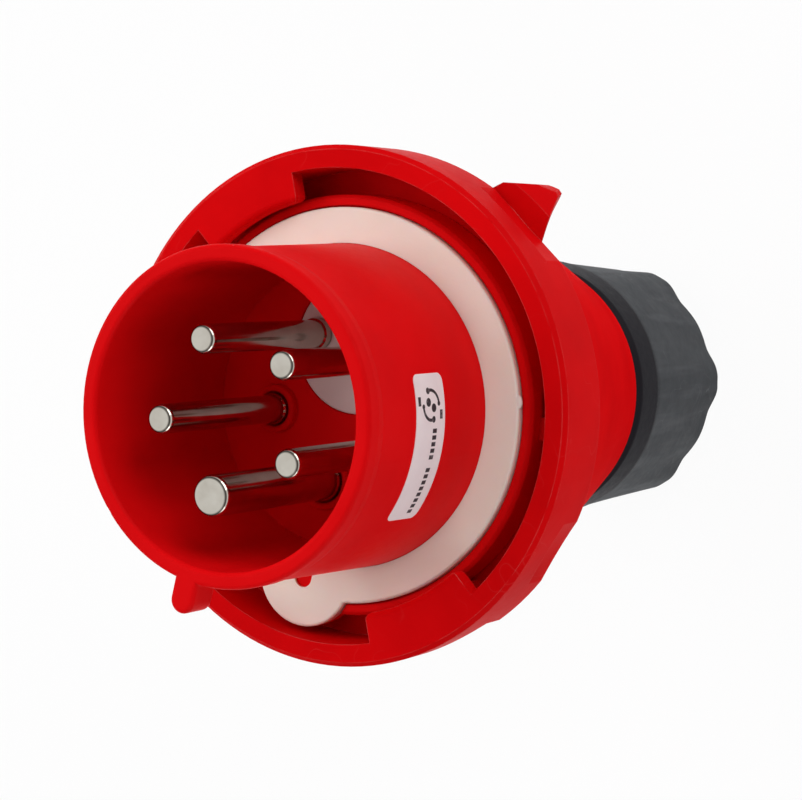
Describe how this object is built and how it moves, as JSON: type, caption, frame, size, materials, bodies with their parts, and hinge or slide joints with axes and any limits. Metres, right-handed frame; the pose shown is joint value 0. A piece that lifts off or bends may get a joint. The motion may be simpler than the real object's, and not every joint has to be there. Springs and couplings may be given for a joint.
{
  "type": "industrial pin and sleeve plug",
  "caption": "Industrial pin and sleeve plug: round keyed shroud over contact pins, turning phase inverter, bayonet locking ring, tapered handle and cable gland nut.",
  "frame": {"origin": "on the plug's axis, in the end face of the gland nut, on which the plug stands", "axes": "+Z along the plug's axis from the gland nut to the contact pins; the key rib and the earth pin lie towards -Y; +X to the right when the contact face is seen with the key at the bottom"},
  "size_m": [0.091, 0.091, 0.151],
  "materials": {
    "red_plastic": "satin moulded",
    "ring_plastic": "satin moulded",
    "nut_plastic": "matt moulded",
    "disc_plastic": "matt moulded",
    "inner_plastic": "matt moulded",
    "silicone": "matt",
    "black_rubber": "matt",
    "plated_brass": "bright nickel plating",
    "steel": "zinc plated"
  },
  "bodies": {
    "plug": {"front_housing": "red_plastic", "rear_body": "red_plastic", "face_gasket": "silicone", "body_seal": "black_rubber", "body_lock_screw": "steel", "earth_pin": "plated_brass", "earth_pin_screw": "steel", "neutral_pin": "plated_brass", "neutral_pin_screw": "steel", "line_1_pin": "plated_brass", "line_1_pin_screw": "steel", "terminal_carrier": "inner_plastic", "carrier_screws": "steel", "spring_keeper": "inner_plastic", "inverter_spring": "steel", "sealing_bush": "black_rubber", "clamping_cage": "inner_plastic"},
    "ring": {"locking_ring": "ring_plastic"},
    "inverter_slider": {"inverter_pressure_ring": "steel"},
    "inverter": {"inverter_disc": "disc_plastic", "line_2_pin": "plated_brass", "line_3_pin": "plated_brass", "line_2_pin_screw": "steel", "line_3_pin_screw": "steel"},
    "gland_slider": {"gland_washer": "inner_plastic"},
    "nut": {"gland_nut": "nut_plastic"}
  },
  "joints": [
    {"name": "ring_turn", "type": "hinge", "parent": "plug", "child": "ring", "pos_m": [0, 0, 0.109], "axis": [0, 0, 1], "range_deg": [0, 45]},
    {"name": "inverter_press", "type": "slide", "parent": "plug", "child": "inverter_slider", "axis": [0, 0, -1], "range_m": [0, 0.0025], "stiffness_N_per_m": 2000, "springref_m": -0.003, "deforming": ["inverter_spring"]},
    {"name": "inverter_turn", "type": "hinge", "parent": "inverter_slider", "child": "inverter", "pos_m": [0, 0.01092, 0.109], "axis": [0, 0, 1], "range_deg": [0, 180]},
    {"name": "gland_travel", "type": "slide", "parent": "plug", "child": "gland_slider", "axis": [0, 0, -1], "range_m": [0, 0.009]},
    {"name": "nut_turn", "type": "hinge", "parent": "gland_slider", "child": "nut", "pos_m": [0, 0, 0.02], "axis": [0, 0, -1], "range_deg": [0, 1080]}
  ],
  "couplings": [
    {"joint": "gland_travel", "follows": "nut_turn", "m_per_rad": 0.00047746}
  ]
}
